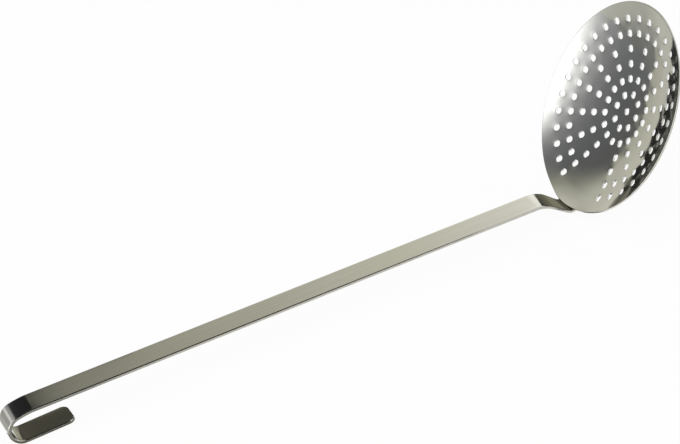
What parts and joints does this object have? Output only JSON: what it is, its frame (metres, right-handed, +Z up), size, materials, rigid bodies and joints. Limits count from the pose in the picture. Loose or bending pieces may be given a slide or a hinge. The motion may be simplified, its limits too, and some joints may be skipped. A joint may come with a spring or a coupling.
{
  "type": "kitchen skimmer",
  "caption": "Perforated shallow round skimmer with a flat strap handle that is welded to the back of the bowl and ends in a hanging hook.",
  "frame": {"origin": "on the table, below the middle of the whole length", "axes": "+X along the handle towards the hook, +Y across the handle, +Z up, as the skimmer lies on a table with the bowl's hollow facing up and towards the hook"},
  "size_m": [0.4044, 0.1198, 0.1001],
  "materials": {
    "bowl_steel": "polished sheet",
    "handle_steel": "satin, ground lengthways",
    "weld_steel": "dull weld"
  },
  "bodies": {
    "root": {"bowl": "bowl_steel", "handle": "handle_steel", "spot_welds": "weld_steel"}
  },
  "joints": []
}
